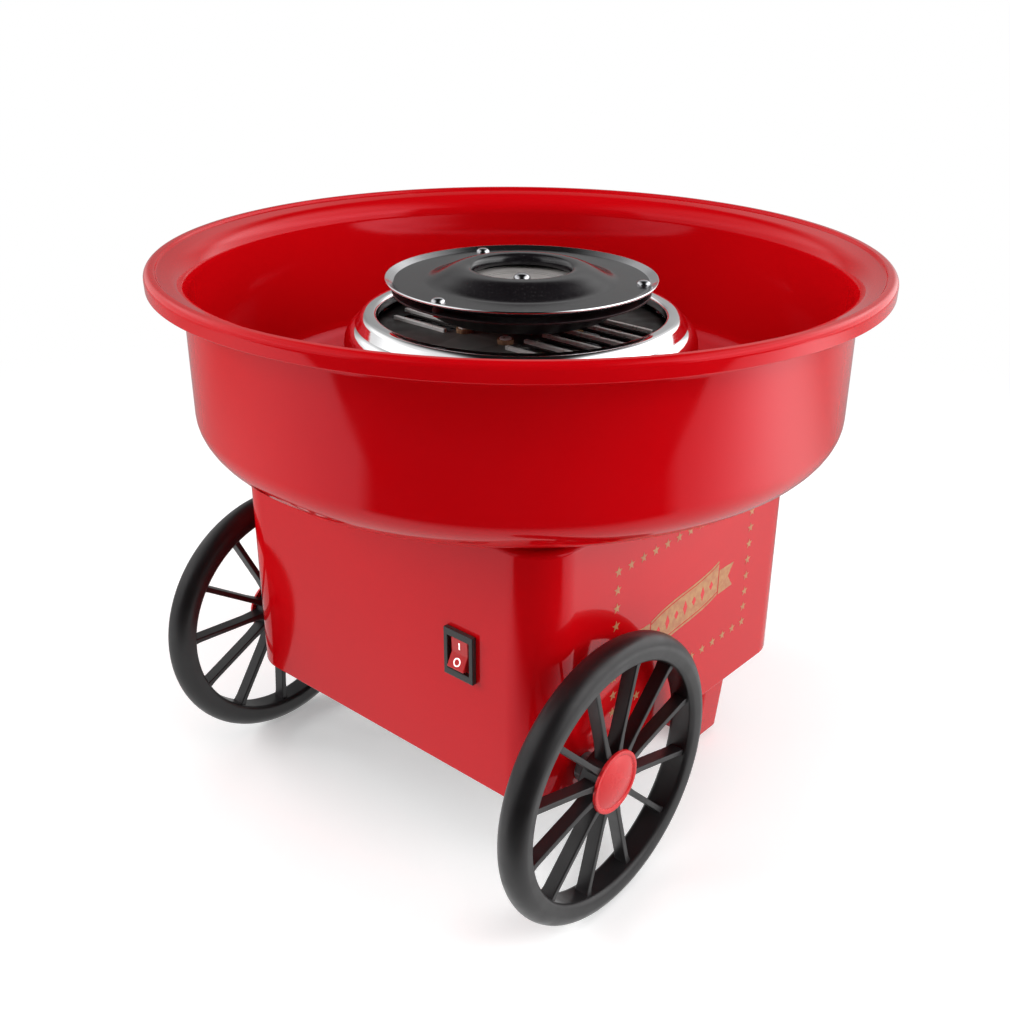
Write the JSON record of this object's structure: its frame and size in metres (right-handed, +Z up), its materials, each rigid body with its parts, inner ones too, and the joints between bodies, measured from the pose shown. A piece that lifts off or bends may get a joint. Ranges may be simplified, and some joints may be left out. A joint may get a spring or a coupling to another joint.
{
  "type": "cotton candy machine",
  "caption": "Electric cotton candy machine with a wide lift-off bowl, a spinning heated head, a box base on spoked cart wheels and a rear leg, and a rocker switch.",
  "frame": {"origin": "on the floor, straight under the axis of the bowl and the spinning head", "axes": "+Z up, -Y towards the front wall with the switch, +X towards the right wheel"},
  "size_m": [0.3, 0.3, 0.24],
  "materials": {
    "red_plastic": "glossy moulded plastic",
    "black_plastic": "satin moulded plastic",
    "grey_plastic": "satin moulded plastic",
    "switch_black": "glossy moulded plastic",
    "switch_red": "glossy moulded plastic",
    "polished_metal": "polished spun sheet",
    "bright_aluminium": "turned and polished",
    "dark_coating": "satin dark coating",
    "blackened_steel": "heat darkened",
    "grey_aluminium": "plain turned",
    "bright_steel": "polished",
    "zinc_steel": "zinc plated",
    "laminated_steel": "stacked sheets",
    "coil_winding": "taped copper winding",
    "heater_steel": "oxidised tube",
    "brown_ceramic": "bare ceramic",
    "black_rubber": "matt rubber",
    "brass": "plain stamped",
    "white_plastic": "plain moulded"
  },
  "bodies": {
    "base": {"base_housing": "red_plastic", "bottom_cover": "black_plastic", "cover_screws": "zinc_steel", "rear_leg": "red_plastic", "leg_screws": "zinc_steel", "foot_pads": "black_rubber", "axle": "bright_steel", "axle_spacer_left": "grey_plastic", "axle_spacer_right": "grey_plastic", "axle_nut_left": "bright_steel", "axle_nut_right": "bright_steel", "heater_shroud": "polished_metal", "shroud_screws": "zinc_steel", "motor_plate": "zinc_steel", "plate_screws": "zinc_steel", "vent_posts": "zinc_steel", "vent_plate": "blackened_steel", "heating_element": "heater_steel", "heater_posts": "brown_ceramic", "rubber_mounts": "black_rubber", "mount_screws": "zinc_steel", "motor_bracket_upper": "zinc_steel", "motor_bracket_lower": "zinc_steel", "motor_stator": "laminated_steel", "motor_coil": "coil_winding", "motor_screws": "zinc_steel", "switch_frame": "switch_black", "switch_terminals": "brass", "cord_bushing": "black_rubber", "terminal_block": "white_plastic"},
    "head": {"motor_rotor": "laminated_steel", "motor_shaft": "bright_steel", "cooling_fan": "black_plastic", "drive_hub": "grey_aluminium", "head_pan": "dark_coating", "rim_spacers": "bright_aluminium", "head_plate": "bright_aluminium", "head_cover": "dark_coating", "head_rivets": "bright_steel", "cup_spacer": "grey_aluminium", "sugar_cup": "grey_aluminium", "dome_nut": "bright_steel"},
    "wheel_left": {"wheel_left": "black_plastic", "hub_cap_left": "red_plastic"},
    "wheel_right": {"wheel_right": "black_plastic", "hub_cap_right": "red_plastic"},
    "switch_rocker": {"switch_rocker": "switch_red"},
    "bowl": {"bowl": "red_plastic"}
  },
  "joints": [
    {"name": "head_spin", "type": "hinge", "parent": "base", "child": "head", "pos_m": [0, 0, 0.2], "axis": [0, 0, 1], "continuous": true},
    {"name": "wheel_left_spin", "type": "hinge", "parent": "base", "child": "wheel_left", "pos_m": [-0.101, -0.0627, 0.0605], "axis": [1, 0, 0], "continuous": true},
    {"name": "wheel_right_spin", "type": "hinge", "parent": "base", "child": "wheel_right", "pos_m": [0.101, -0.0627, 0.0605], "axis": [1, 0, 0], "continuous": true},
    {"name": "switch_rock", "type": "hinge", "parent": "base", "child": "switch_rocker", "pos_m": [0.0487, -0.0882, 0.1073], "axis": [1, 0, 0], "range_deg": [0, 24]},
    {"name": "bowl_lift", "type": "slide", "parent": "base", "child": "bowl", "axis": [0, 0, 1], "range_m": [0, 0.1]}
  ]
}
